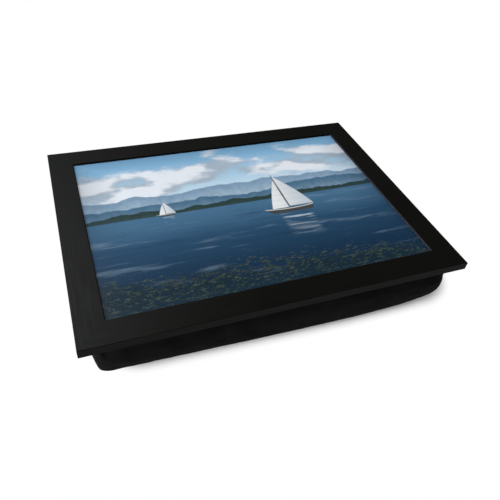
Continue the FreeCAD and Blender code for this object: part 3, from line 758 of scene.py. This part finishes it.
zipPlace = {
    "middle": (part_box("back_band_lower")[1].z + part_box("back_band_upper")[0].z) / 2,
    "halfOpening": (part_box("back_band_upper")[0].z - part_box("back_band_lower")[1].z) / 2,
    "halfLength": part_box("zip_stops")[1].x, "wall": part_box("back_band_upper")[1].y, "pocket": 148.45 * mm,
}
cushion = {
    "voxel": 5.0 * mm, "inside": 1.6 * mm,
    "cornerRound": 10.0 * mm, "baseRound": 8.0 * mm, "topRound": 5.0 * mm,
    "baseSeam": 8.5 * mm, "topSeam": 57.6 * mm, "holdBand": 2.6 * mm,
    "zipHold": {"tall": 13.0 * mm, "long": 178.0 * mm, "deep": 6.0 * mm},    # held flat about the zip
    "cloth": {"quality": 6, "mass": 0.25, "tension_stiffness": 12.0, "compression_stiffness": 12.0,
              "shear_stiffness": 4.0, "bending_stiffness": 0.4, "use_pressure": True,
              "uniform_pressure_force": 4.0, "shrink_min": -0.012, "vertex_group_mass": "held"},
    "steps": 20, "cap": 6.0 * mm, "ceilingGap": 0.05 * mm,
    "bagGaps": (2.6 * mm, 0.6 * mm), "fillGaps": (4.2 * mm, 1.8 * mm),    # to the cover, and at the zip
    "seamDepth": 0.9 * mm, "cornerSeamDepth": 0.45 * mm, "seamHalf": 1.0 * mm, "seamTouch": 0.02 * mm,
    "wallSlope": 0.93, "topSeamFrom": 50.0 * mm, "baseSeamTo": 16.0 * mm, "cornerNear": 22.0 * mm,
    # puckers along the seams, and slanting folds over the walls
    "pucker": {"size": 0.45 * mm, "run": 9.0 * mm, "rise": 60.0 * mm, "seed": 3.1,
               "topFade": 9.0 * mm, "baseFade": 7.0 * mm, "baseShare": 0.2},
    "folds": [{"size": 0.85, "run": 48.0 * mm, "slant": 26.0 * mm, "rise": 13.0 * mm, "seed": 7.7},
              {"size": 0.30, "run": 21.0 * mm, "slant": -17.0 * mm, "rise": 7.0 * mm, "seed": 1.3}],
    "foldFrom": (7.0 * mm, 24.0 * mm), "zipFlat": {"tall": 12.0 * mm, "deep": 3.0 * mm},
    "squareReach": 14.0 * mm, "squarePower": 5.0, "squareFrom": (10.0 * mm, 24.0 * mm),
    "square": {(-1, -1): 0.35, (-1, 1): 0.9, (1, 1): 0.8, (1, -1): 0.0},    # how square a corner is sewn
    # hollows pulled into the front wall by the left corner's seams, all in mm
    "hollows": [{"x": -196.5, "z": 48.0, "left": 5.5, "right": 14.0, "tall": 19.0, "depth": 3.6},
                {"x": -190.0, "z": 16.0, "left": 5.0, "right": 9.0, "tall": 6.0, "depth": 1.2}],
    "hollowWall": -140.0 * mm,
    "fill": 0.6,
    # how far the walls stand out and the base edge lifts along each side, in mm
    "frontLean": [(-208, 0.0), (-190, 0.6), (-154, 1.3), (-100, 1.9), (-43, 2.6), (20, 3.3), (87, 4.2),
                  (140, 4.2), (175, 3.6), (208, 3.6)],
    "frontLift": [(-208, 11.0), (-190, 8.0), (-170, 6.4), (-154, 5.8), (-100, 4.1), (-43, 2.1), (20, 0.8),
                  (87, 0.6), (130, 1.8), (160, 3.6), (180, 6.8), (192, 10.8), (200, 14.4), (208, 18.0)],
    "backLift": [(-208, 8.0), (-100, 5.0), (0, 3.5), (100, 4.0), (208, 7.0)],
    "rightLean": [(-153, 3.2), (-60, 1.8), (153, 0.0)], "leftLean": [(-153, 1.4), (-60, 0.8), (153, 0.0)],
    # share of the lean by height in mm, and where lean and lift begin and end
    "upright": [(0, 1.0), (40, 1.0), (58, 0.35), (62, 0.2)],
    "sag": [(0, 0.35), (12, 0.9), (20, 1.0), (32, 1.0), (48, 0.6), (60, 0.2)],
    "frontFrom": (100.0 * mm, 145.0 * mm), "sideFrom": (150.0 * mm, 200.0 * mm),
    "liftReach": 60.0 * mm, "liftFade": (8.0, 46.0),
}


def cushionBox(inset):
    low = Vector((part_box("side_band_left")[0].x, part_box("side_band_front")[0].y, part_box("cover_base")[0].z))
    high = Vector((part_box("side_band_right")[1].x, zipPlace["wall"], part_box("cover_top")[1].z))
    return low + Vector((inset, inset, 0)), high - Vector((inset, 0, 0))


def startCushion():
    low, high = cushionBox(cushion["inside"])
    pad = startBlock("cushion_cover", low, high)
    bevelEdges(pad, lambda a, b: abs(a.z - b.z) > 20.0 * mm, cushion["cornerRound"], 5)
    bevelEdges(pad, lambda a, b: max(a.z, b.z) < touch, cushion["baseRound"], 4)
    bevelEdges(pad, lambda a, b: min(a.z, b.z) > high.z - touch, cushion["topRound"], 3)
    useOnly(pad)
    pad.data.remesh_voxel_size = cushion["voxel"]
    bpy.ops.object.voxel_remesh()
    return pad


def heldPoint(point):
    seams = (cushion["baseSeam"], cushion["topSeam"])
    if min(abs(point.z - seam) for seam in seams) < cushion["holdBand"]:
        return True
    if point.z > cushion["topSeam"]:
        return True
    hold = cushion["zipHold"]
    nearZip = abs(point.z - zipPlace["middle"]) < hold["tall"] and abs(point.x) < hold["long"]
    return nearZip and point.y > zipPlace["wall"] - hold["deep"]


def settleCushion(pad):
    held = pad.vertex_groups.new(name="held")
    held.add([vertex.index for vertex in pad.data.vertices if heldPoint(vertex.co)], 1.0, "REPLACE")
    start = [vertex.co.copy() for vertex in pad.data.vertices]
    useOnly(pad)
    bpy.ops.object.modifier_add(type="CLOTH")
    cloth = pad.modifiers[-1]
    for key, value in cushion["cloth"].items():
        setattr(cloth.settings, key, value)
    cloth.settings.effector_weights.gravity = 0.0
    cloth.point_cache.frame_start = 1
    cloth.point_cache.frame_end = cushion["steps"]
    for step in range(1, cushion["steps"] + 1):
        bpy.context.scene.frame_set(step)
    bpy.ops.object.modifier_apply(modifier=cloth.name)
    bpy.context.scene.frame_set(1)
    far = 0.0
    for vertex, origin in zip(pad.data.vertices, start):
        move = vertex.co - origin
        far = max(far, move.length)
        if move.length > cushion["cap"]:
            vertex.co = origin + move * (cushion["cap"] / move.length)
    print("cushion settled, furthest move", round(far / mm, 1), "mm")


def leanAndLift(pad):
    low, high = cushionBox(0.0)
    for vertex in pad.data.vertices:
        point = vertex.co.copy()
        x, y, z = [part / mm for part in point]
        front = ease(-point.y, *cushion["frontFrom"])
        right = ease(point.x, *cushion["sideFrom"])
        left = ease(-point.x, *cushion["sideFrom"])
        upright = along(z, cushion["upright"])
        vertex.co.y -= along(x, cushion["frontLean"]) * mm * front * upright
        vertex.co.x += along(y, cushion["rightLean"]) * mm * right * along(z, cushion["sag"])
        vertex.co.x += along(y, cushion["leftLean"]) * mm * left * upright
        edge = min(point.x - low.x, high.x - point.x, point.y - low.y, high.y - point.y)
        share = 1.0 - ease(edge, 0.0, cushion["liftReach"])
        depth = ease(point.y, low.y, high.y)
        lift = along(x, cushion["frontLift"]) * (1.0 - depth) + along(x, cushion["backLift"]) * depth
        vertex.co.z += lift * mm * share * (1.0 - ease(z, *cushion["liftFade"]))


def layDown(pad):
    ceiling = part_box("cover_top")[1].z - cushion["ceilingGap"]
    for vertex in pad.data.vertices:
        vertex.co.z = min(max(vertex.co.z, 0.0), ceiling)


def wrinkle(pad):
    pucker, flat = cushion["pucker"], cushion["zipFlat"]
    for vertex, normal in zip(pad.data.vertices, normalsOf(pad)):
        point = vertex.co
        if point.y > zipPlace["wall"] - flat["deep"] and abs(point.z - zipPlace["middle"]) < flat["tall"]:
            continue
        run = point.x if abs(normal.y) > abs(normal.x) else point.y
        seams = math.exp(-abs(point.z - cushion["topSeam"]) / pucker["topFade"])
        seams += pucker["baseShare"] * math.exp(-abs(point.z - cushion["baseSeam"]) / pucker["baseFade"])
        spot = Vector((run / pucker["run"], point.z / pucker["rise"], pucker["seed"]))
        move = pucker["size"] * noise.noise(spot) * seams
        slack = 0.0
        for fold in cushion["folds"]:
            slant = run / fold["run"] + point.z / fold["slant"]
            slack += fold["size"] * noise.noise(Vector((slant, point.z / fold["rise"], fold["seed"])))
        move += slack * mm * (1.0 - abs(normal.z)) * ease(point.z, *cushion["foldFrom"])
        vertex.co = point + normal * move


def squareCorners(pad):
    reach, power = cushion["squareReach"], cushion["squarePower"]
    low, high = cushionBox(cushion["inside"])
    for vertex in pad.data.vertices:
        point = vertex.co
        side = (1 if point.x > 0 else -1, 1 if point.y > 0 else -1)
        wall = high.y if side[1] > 0 else -low.y
        a = abs(point.x) - (high.x - reach)
        b = abs(point.y) - (wall - reach)
        if a <= 0.0 or b <= 0.0:
            continue
        grow = math.hypot(a, b) / (a ** power + b ** power) ** (1.0 / power) - 1.0
        grow *= cushion["square"][side] * ease(point.z, *cushion["squareFrom"])
        point.x += side[0] * a * grow
        point.y += side[1] * b * grow


def hollowFront(pad):
    for vertex in pad.data.vertices:
        point = vertex.co
        if point.y > cushion["hollowWall"]:
            continue
        for hollow in cushion["hollows"]:
            across = point.x / mm - hollow["x"]
            across /= hollow["right"] if across > 0.0 else hollow["left"]
            far = math.hypot(across, (point.z / mm - hollow["z"]) / hollow["tall"])
            point.y += hollow["depth"] * mm * max(1.0 - far * far, 0.0) ** 2


def cutLine(pad, point, normal, test):
    pickFaces(pad, test)
    bpy.ops.mesh.bisect(plane_co=point, plane_no=normal)
    leaveEdit()


def sewSeam(pad, point, normal, test, depth):
    point, normal = Vector(point), Vector(normal).normalized()
    for offset in (-1, 0, 1):
        cutLine(pad, point + normal * offset * cushion["seamHalf"], normal, test)
    pad.data.update()
    for vertex, outward in zip(pad.data.vertices, normalsOf(pad)):
        if abs((vertex.co - point).dot(normal)) < cushion["seamTouch"] and test(vertex.co, outward):
            vertex.co -= outward * depth


def sewCover(pad):
    deep, top, base = cushion["seamDepth"], cushion["topSeam"], cushion["baseSeam"]
    isWall = lambda c, n: abs(n.z) < cushion["wallSlope"]
    sewSeam(pad, (0, 0, top), (0, 0, 1), lambda c, n: isWall(c, n) and c.z > cushion["topSeamFrom"], deep)
    sewSeam(pad, (0, 0, base), (0, 0, 1), lambda c, n: isWall(c, n) and c.z < cushion["baseSeamTo"], deep)
    corner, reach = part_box("cover_top")[1], cushion["cornerNear"]
    for sideX in (-1, 1):
        for sideY in (-1, 1):
            spot = Vector((corner.x * sideX, corner.y * sideY, 0))
            near = lambda c, n, s=spot: (abs(c.x - s.x) < reach and abs(c.y - s.y) < reach
                                         and base < c.z < top)
            sewSeam(pad, spot, (sideX, -sideY, 0), near, cushion["cornerSeamDepth"])


def openZipPocket(pad):
    behind = 4.0 * mm
    wall = zipPlace["wall"] - behind
    low = zipPlace["middle"] - zipPlace["halfOpening"]
    high = zipPlace["middle"] + zipPlace["halfOpening"]
    end = zipPlace["halfLength"]
    isBack = lambda c, n: c.y > wall and n.y > 0.3
    for z in (low, high):
        cutLine(pad, (0, 0, z), (0, 0, 1), isBack)
    for x in (-end, end):
        cutLine(pad, (x, 0, 0), (1, 0, 0), isBack)
    pickFaces(pad, lambda c, n: isBack(c, n) and low < c.z < high and abs(c.x) < end)
    depth = zipPlace["pocket"] - zipPlace["wall"]
    bpy.ops.mesh.extrude_region_move(TRANSFORM_OT_translate={"value": (0, depth, 0)})
    leaveEdit()
    for vertex in pad.data.vertices:
        inSlot = low - touch < vertex.co.z < high + touch and abs(vertex.co.x) < end + touch
        if inSlot and wall - behind < vertex.co.y < zipPlace["wall"] - behind / 2:
            vertex.co.y = zipPlace["pocket"]    # a flat pocket floor


def shrunkCopy(pad, name, gap, zipGap):
    inner = copyOf(pad, name)
    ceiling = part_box("cover_top")[1].z - gap
    for vertex, normal in zip(inner.data.vertices, normalsOf(inner)):
        point = vertex.co - normal * gap
        point.z = min(max(point.z, gap), ceiling)
        point.y = min(point.y, zipPlace["pocket"] - zipGap)
        vertex.co = point
    return inner


def makeCushion():
    pad = startCushion()
    settleCushion(pad)
    layDown(pad)
    editAll(pad)
    bpy.ops.mesh.vertices_smooth(factor=0.5, repeat=2)
    leaveEdit()
    pad.vertex_groups.clear()
    bag = shrunkCopy(pad, "inner_bag", *cushion["bagGaps"])
    fill = shrunkCopy(pad, "bead_fill", *cushion["fillGaps"])
    for part in (pad, bag, fill):
        applyModifier(part, "SUBSURF", levels=1, render_levels=1)
    wrinkle(pad)
    squareCorners(pad)
    for part in (pad, bag, fill):
        hollowFront(part)
    layDown(pad)
    sewCover(pad)
    openZipPocket(pad)
    for part in (pad, bag, fill):
        leanAndLift(part)
        smoothOver(part, 60)
    finishPiece(pad, "cushion", "cover_cloth", coverCloth, "cover_base", "cover_top", "side_band_front",
                "side_band_left", "side_band_right", "back_band_upper", "back_band_lower",
                "zip_end_tab_left", "zip_end_tab_right")
    finishPiece(bag, "cushion", "liner_cloth", linerCloth, "liner_base", "liner_top")
    finishPiece(fill, "cushion", "beads", foamBeads, "bead_filling")
    print("cushion made:", len(pad.data.polygons), "faces")


makeCushion()


# hook and loop strips: one hook or loop is drawn out of a block step by step, then repeated

strips = {
    "tape": 0.55 * mm, "round": 1.2 * mm, "sunk": 0.05 * mm, "clear": 0.02 * mm,
    # each step: the way the face looks, how far from the root it lies, the move in mm, and its end's size
    "hook": {"body": "tray", "slot": "hook_tape", "finish": hookNylon, "up": -1, "pitch": 2.4 * mm,
             "edge": 2.4 * mm, "thick": 0.32 * mm, "stem": 0.62 * mm, "back": 0.0, "jitter": 0.0,
             "steps": [((0, 0, -1), (0, 0, 0), (0.10, 0, -0.32), 1.0),
                       ((1, 0, 0), (0, 0, -0.62), (0.26, 0, -0.02), 0.75),
                       ((1, 0, 0), (0.35, 0, 0), (0.12, 0, 0.16), 0.6)]},
    "loop": {"body": "cushion", "slot": "loop_tape", "finish": loopNylon, "up": 1, "pitch": 1.9 * mm,
             "edge": 3.12 * mm, "thick": 0.26 * mm, "stem": 0.45 * mm, "back": 0.5 * mm, "jitter": 0.7 * mm,
             "steps": [((0, 0, 1), (0, 0, 0), (0.10, 0, 0.36), 1.0),
                       ((1, 0, 0), (0, 0, 0.5), (0.34, 0.05, 0.14), 0.8),
                       ((1, 0, 0), (0.4, 0, 0), (0.30, 0.05, -0.06), 1.0),
                       ((0, 0, -1), (0.55, 0, 0), (0.06, 0, -0.52), 1.0)]},
}


def drawOut(piece, root, facing, past, move, shrink):
    facing, past = Vector(facing), Vector(past) * mm
    pickFaces(piece, lambda c, n: n.dot(facing) > 0.7 and (c - root).dot(past) >= past.dot(past))
    bpy.ops.mesh.extrude_region_move(TRANSFORM_OT_translate={"value": [part * mm for part in move]})
    if shrink < 1.0:
        mesh = bmesh.from_edit_mesh(piece.data)
        tip = [vertex.co for vertex in mesh.verts if vertex.select]
        middle = sum(tip, Vector()) / len(tip)
        bpy.ops.transform.resize(value=(shrink, shrink, shrink), center_override=middle)


def countAndStart(low, high, tuft):
    count = int((high - low - 2.0 * tuft["edge"]) / tuft["pitch"]) + 1
    return count, (low + high - (count - 1) * tuft["pitch"]) / 2


def makeStrip(kind, side):
    tuft = strips[kind]
    node = kind + "_strip_" + side
    low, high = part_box(node)
    up, half, pitch = tuft["up"], tuft["thick"] / 2, tuft["pitch"]
    back, front = (low.z, high.z) if up > 0 else (high.z, low.z)
    face = back + up * strips["tape"]
    bottom, top = sorted((back, face))
    tape = startBlock(node + "_tape", (low.x, low.y, bottom), (high.x, high.y, top))
    bevelEdges(tape, lambda a, b: abs(a.z - b.z) > touch, strips["round"], 3)
    columns, x = countAndStart(low.x, high.x, tuft)
    rows, y = countAndStart(low.y, high.y, tuft)
    root = Vector((x - tuft["back"], y, face - up * strips["sunk"]))
    bottom, top = sorted((root.z, root.z + up * tuft["stem"]))
    pile = startBlock(node + "_pile", (root.x - half, y - half, bottom), (root.x + half, y + half, top))
    for step in tuft["steps"]:
        drawOut(pile, root, *step)
    leaveEdit()
    repeat(pile, columns, (pitch, 0, 0))
    repeat(pile, rows, (0, pitch, 0))
    for vertex in pile.data.vertices:
        point = vertex.co
        column = math.floor((point.x - root.x + 0.3 * mm) / pitch)
        cell = Vector((column * 1.7, round((point.y - y) / pitch) * 1.3, 0.5))
        point.x += noise.noise(cell) * tuft["jitter"]
        point.y += noise.noise(cell + Vector((9.2, 4.4, 0))) * tuft["jitter"]
    joinTo(tape, [pile])
    nearer = min if up > 0 else max
    for vertex in tape.data.vertices:
        vertex.co.z = nearer(vertex.co.z, front - up * strips["clear"])
    smoothOver(tape, 40)
    finishPiece(tape, tuft["body"], tuft["slot"], tuft["finish"], node)


sides = ("front", "back", "left", "right")
for side in sides:
    makeStrip("hook", side)
    makeStrip("loop", side)
print("hook and loop strips made")


# stitches: straight rows on the loop strips and round the zip

stitch = {
    "length": 2.3 * mm, "pitch": 3.1 * mm, "thick": 0.46 * mm, "round": 0.3, "sink": 0.45,
    "inset": 1.35 * mm, "tapeLift": 0.06 * mm, "wallLift": 0.02 * mm,
    "zipGap": 3.0 * mm, "zipPast": 4.0 * mm, "endGap": 3.4 * mm, "endPast": 2.5 * mm,
}


def stitchRow(name, start, end, lift):
    start, lift = Vector(start), Vector(lift)
    run = Vector(end) - start
    way = run.normalized()
    middle = start + way * stitch["pitch"] / 2
    reach = way * stitch["length"] + (way.cross(lift) + lift) * stitch["thick"]
    reach = Vector([abs(part) / 2 for part in reach])
    one = startBlock(name, middle - reach, middle + reach)
    editAll(one)
    bpy.ops.mesh.bevel(offset=stitch["thick"] * stitch["round"], segments=1, affect="EDGES")
    leaveEdit()
    for vertex in one.data.vertices:
        ends = abs((vertex.co - middle).dot(way)) / (stitch["length"] / 2)
        vertex.co -= lift * stitch["thick"] * stitch["sink"] * ends ** 3
    repeat(one, int(run.length / stitch["pitch"]), way * stitch["pitch"])
    return one


def finishRows(name, slot, rows):
    piece = rows[0]
    joinTo(piece, rows[1:])
    piece.name = name
    smoothOver(piece, 50)
    finishPiece(piece, "cushion", slot, thread)


def sewStrips():
    rows = []
    for side in sides:
        low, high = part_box("loop_strip_" + side)
        inset = Vector((stitch["inset"], stitch["inset"], 0))
        low, high = low + inset, high - inset
        z = low.z + strips["tape"] + stitch["tapeLift"]
        a, b, c, d = (low.x, low.y, z), (high.x, low.y, z), (high.x, high.y, z), (low.x, high.y, z)
        for first, second in ((a, b), (d, c), (a, d), (b, c)):
            rows.append(stitchRow("strip_stitches", first, second, (0, 0, 1)))
    finishRows("strip_stitches", "loop_tape", rows)


def sewZip():
    rows = []
    y = zipPlace["wall"] + stitch["wallLift"]
    middle, opening, length = zipPlace["middle"], zipPlace["halfOpening"], zipPlace["halfLength"]
    for side in (-1, 1):
        x = length + stitch["zipPast"]
        z = middle + side * (opening + stitch["zipGap"])
        rows.append(stitchRow("zip_stitches", (-x, y, z), (x, y, z), (0, 1, 0)))
    for side in (-1, 1):
        x = side * (length + stitch["endGap"])
        reach = opening + stitch["endPast"]
        rows.append(stitchRow("zip_stitches", (x, y, middle - reach), (x, y, middle + reach), (0, 1, 0)))
    finishRows("zip_stitches", "zip_cloth", rows)


sewStrips()
sewZip()
print("stitches sewn")


# zip: moulded teeth, woven tapes, slider and pull with eased edges

zipper = {
    "pitch": 2.0 * mm, "toothLong": 1.35 * mm, "toothEase": 0.28 * mm, "toothInset": 0.22 * mm,
    "noseStep": 0.55 * mm, "tapeEase": 0.25 * mm,
    "metal": [("zip_stops", "zip_end_stops", "cushion", 0.3 * mm),    # node, piece, body and easing
              ("zip_slider", "zip_slider_body", "slider", 0.22 * mm),
              ("zip_pull", "zip_pull_tab", "pull", 0.2 * mm)],
}


def makeZipTeeth(node, name, side):
    low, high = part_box(node)
    pitch, half = zipper["pitch"], zipper["toothLong"] / 2
    count = int((high.x - low.x) / pitch)
    first = (low.x + high.x - (count - 1) * pitch) / 2
    tooth = startBlock(name, (first - half, low.y, low.z), (first + half, high.y, high.z))
    nose = low.z if side > 0 else high.z
    pickFaces(tooth, lambda c, n: abs(c.z - nose) < hair)
    bpy.ops.mesh.inset(thickness=zipper["toothInset"])
    leaveEdit()
    for vertex in tooth.data.vertices:
        if abs(vertex.co.z - nose) < hair and abs(vertex.co.x - first) > half - hair:
            vertex.co.z += side * zipper["noseStep"]
    isLevel = lambda a, b: abs(a.z - b.z) < hair and abs(a.y - b.y) < hair and abs(a.x - b.x) > 0.1 * mm
    bevelEdges(tooth, isLevel, zipper["toothEase"], 1)
    repeat(tooth, count, (pitch, 0, 0))
    smoothOver(tooth, 30)
    finishPiece(tooth, "cushion", "zip_plastic", zipPlastic, node)


def makeZipTape(node, name):
    tape = startBlock(name, *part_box(node))
    bevelEdges(tape, lambda a, b: abs(a.x - b.x) > 100.0 * mm, zipper["tapeEase"], 2)
    smoothOver(tape, 40)
    finishPiece(tape, "cushion", "zip_cloth", zipWeave, node)


def makeZipMetal(node, name, body, width):
    piece = copyNode(node, name)
    applyModifier(piece, "BEVEL", width=width, segments=2, limit_method="ANGLE",
                  angle_limit=math.radians(40))
    smoothOver(piece, 35)
    finishPiece(piece, body, "zip_metal", zipMetal, node)


halves = {"upper": 1, "lower": -1}
for half, side in halves.items():
    makeZipTeeth("zip_teeth_" + half, "zip_teeth_row_" + half, side)
for half in halves:
    makeZipTape("zip_tape_" + half, "zip_tape_woven_" + half)
for node, name, body, width in zipper["metal"]:
    makeZipMetal(node, name, body, width)
print("zip made")


clearSelection()
